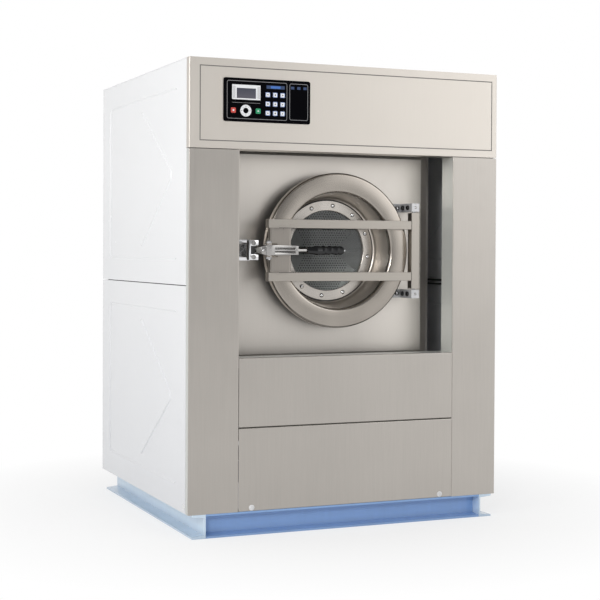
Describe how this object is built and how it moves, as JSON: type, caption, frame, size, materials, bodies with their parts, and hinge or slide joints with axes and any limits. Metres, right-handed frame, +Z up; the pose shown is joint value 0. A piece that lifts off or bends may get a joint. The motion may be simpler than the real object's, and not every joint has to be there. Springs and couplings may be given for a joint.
{
  "type": "commercial washing machine",
  "caption": "Front-loading commercial washer-extractor: steel cabinet on a channel base, round dished door on a square-tube yoke with a lever latch, and a key panel.",
  "frame": {"origin": "on the floor under the middle of the machine's outline", "axes": "+Z up, +X to the right seen from the front, +Y from the front to the rear"},
  "size_m": [1.157, 1.1066, 1.58],
  "materials": {
    "base_enamel": "semi-gloss light blue enamel",
    "side_enamel": "satin white enamel",
    "header_steel": "fine brushed stainless steel, light and warm",
    "front_steel": "fine brushed stainless steel",
    "tub_steel": "brushed stainless steel",
    "drum_steel": "polished stainless steel",
    "door_steel": "polished stainless steel",
    "bright_chrome": "polished chrome plate",
    "black_rubber": "matt black rubber",
    "black_plastic": "smooth black plastic",
    "key_white": "white key caps",
    "key_red": "red key cap",
    "key_green": "green key cap",
    "clear_glass": "clear toughened glass",
    "cast_metal": "painted casting",
    "motor_paint": "blue grey paint",
    "spring_steel": "black coated spring steel",
    "pipe_plastic": "pale grey moulded plastic"
  },
  "bodies": {
    "cabinet": {"base_rail_left": "base_enamel", "base_rail_right": "base_enamel", "base_cross_front": "base_enamel", "base_cross_rear": "base_enamel", "header_panel": "header_steel", "pilaster_left": "front_steel", "pilaster_right": "front_steel", "front_panel_middle": "front_steel", "front_panel_bottom": "front_steel", "side_panel_left_upper": "side_enamel", "side_panel_left_lower": "side_enamel", "side_panel_right_upper": "side_enamel", "side_panel_right_lower": "side_enamel", "rear_panel": "side_enamel", "top_panel": "side_enamel", "control_panel": "black_plastic", "suspension_spring_front_left": "spring_steel", "suspension_spring_front_right": "spring_steel", "suspension_spring_rear_left": "spring_steel", "suspension_spring_rear_right": "spring_steel"},
    "tub": {"tub_front_plate": "tub_steel", "outer_tub": "tub_steel", "bearing_housing": "cast_metal", "tub_cradle_front": "cast_metal", "tub_cradle_rear": "cast_metal", "door_gasket": "black_rubber", "drive_motor": "motor_paint", "drive_belt": "black_rubber", "drain_valve": "pipe_plastic", "hinge_bracket_upper": "bright_chrome", "hinge_bracket_lower": "bright_chrome", "catch_bracket": "bright_chrome"},
    "drum": {"inner_drum": "drum_steel", "drum_shaft": "cast_metal", "drum_pulley": "cast_metal"},
    "motor_rotor": {"motor_pulley": "cast_metal"},
    "door": {"door_ring": "door_steel", "door_glass": "clear_glass", "glass_clamp_ring": "tub_steel", "yoke_bar_upper": "tub_steel", "yoke_bar_lower": "tub_steel", "yoke_post": "tub_steel", "latch_plate": "tub_steel", "latch_pin": "bright_chrome"},
    "handle": {"latch_lever": "bright_chrome", "latch_hook": "bright_chrome", "handle_grip": "black_plastic"},
    "roller": {"catch_roller": "black_rubber"},
    "program_key_1": {"program_key_1": "key_white"},
    "program_key_2": {"program_key_2": "key_white"},
    "program_key_3": {"program_key_3": "key_white"},
    "program_key_4": {"program_key_4": "key_white"},
    "program_key_5": {"program_key_5": "key_white"},
    "program_key_6": {"program_key_6": "key_white"},
    "program_key_7": {"program_key_7": "key_white"},
    "program_key_8": {"program_key_8": "key_white"},
    "program_key_9": {"program_key_9": "key_white"},
    "stop_key": {"stop_key": "key_red"},
    "start_key": {"start_key": "key_green"},
    "cursor_pad": {"cursor_pad": "key_white"}
  },
  "joints": [
    {"name": "tub_float", "type": "slide", "parent": "cabinet", "child": "tub", "axis": [0, 0, 1], "range_m": [-0.012, 0.012], "stiffness_N_per_m": 85000, "springref_m": 0.0357, "deforming": ["suspension_spring_front_left", "suspension_spring_front_right", "suspension_spring_rear_left", "suspension_spring_rear_right"]},
    {"name": "door_swing", "type": "hinge", "parent": "tub", "child": "door", "pos_m": [0.285, -0.474, 0.95], "axis": [0, 0, 1], "range_deg": [0, 110]},
    {"name": "handle_swing", "type": "hinge", "parent": "door", "child": "handle", "pos_m": [-0.279, -0.5037, 0.95], "axis": [0, 0, -1], "range_deg": [0, 90]},
    {"name": "drum_spin", "type": "hinge", "parent": "tub", "child": "drum", "pos_m": [0, 0, 0.95], "axis": [0, 1, 0], "continuous": true},
    {"name": "motor_spin", "type": "hinge", "parent": "tub", "child": "motor_rotor", "pos_m": [0.33, 0, 0.47], "axis": [0, 1, 0], "continuous": true},
    {"name": "roller_spin", "type": "hinge", "parent": "tub", "child": "roller", "pos_m": [-0.3305, -0.4827, 0.95], "axis": [0, 0, 1], "continuous": true},
    {"name": "program_key_1_press", "type": "slide", "parent": "cabinet", "child": "program_key_1", "axis": [0, 1, 0], "range_m": [0, 0.001], "stiffness_N_per_m": 1200},
    {"name": "program_key_2_press", "type": "slide", "parent": "cabinet", "child": "program_key_2", "axis": [0, 1, 0], "range_m": [0, 0.001], "stiffness_N_per_m": 1200},
    {"name": "program_key_3_press", "type": "slide", "parent": "cabinet", "child": "program_key_3", "axis": [0, 1, 0], "range_m": [0, 0.001], "stiffness_N_per_m": 1200},
    {"name": "program_key_4_press", "type": "slide", "parent": "cabinet", "child": "program_key_4", "axis": [0, 1, 0], "range_m": [0, 0.001], "stiffness_N_per_m": 1200},
    {"name": "program_key_5_press", "type": "slide", "parent": "cabinet", "child": "program_key_5", "axis": [0, 1, 0], "range_m": [0, 0.001], "stiffness_N_per_m": 1200},
    {"name": "program_key_6_press", "type": "slide", "parent": "cabinet", "child": "program_key_6", "axis": [0, 1, 0], "range_m": [0, 0.001], "stiffness_N_per_m": 1200},
    {"name": "program_key_7_press", "type": "slide", "parent": "cabinet", "child": "program_key_7", "axis": [0, 1, 0], "range_m": [0, 0.001], "stiffness_N_per_m": 1200},
    {"name": "program_key_8_press", "type": "slide", "parent": "cabinet", "child": "program_key_8", "axis": [0, 1, 0], "range_m": [0, 0.001], "stiffness_N_per_m": 1200},
    {"name": "program_key_9_press", "type": "slide", "parent": "cabinet", "child": "program_key_9", "axis": [0, 1, 0], "range_m": [0, 0.001], "stiffness_N_per_m": 1200},
    {"name": "stop_key_press", "type": "slide", "parent": "cabinet", "child": "stop_key", "axis": [0, 1, 0], "range_m": [0, 0.001], "stiffness_N_per_m": 1200},
    {"name": "start_key_press", "type": "slide", "parent": "cabinet", "child": "start_key", "axis": [0, 1, 0], "range_m": [0, 0.001], "stiffness_N_per_m": 1200},
    {"name": "cursor_pad_press", "type": "slide", "parent": "cabinet", "child": "cursor_pad", "axis": [0, 1, 0], "range_m": [0, 0.001], "stiffness_N_per_m": 1200}
  ],
  "couplings": [
    {"joint": "motor_spin", "follows": "drum_spin", "ratio": 4}
  ]
}
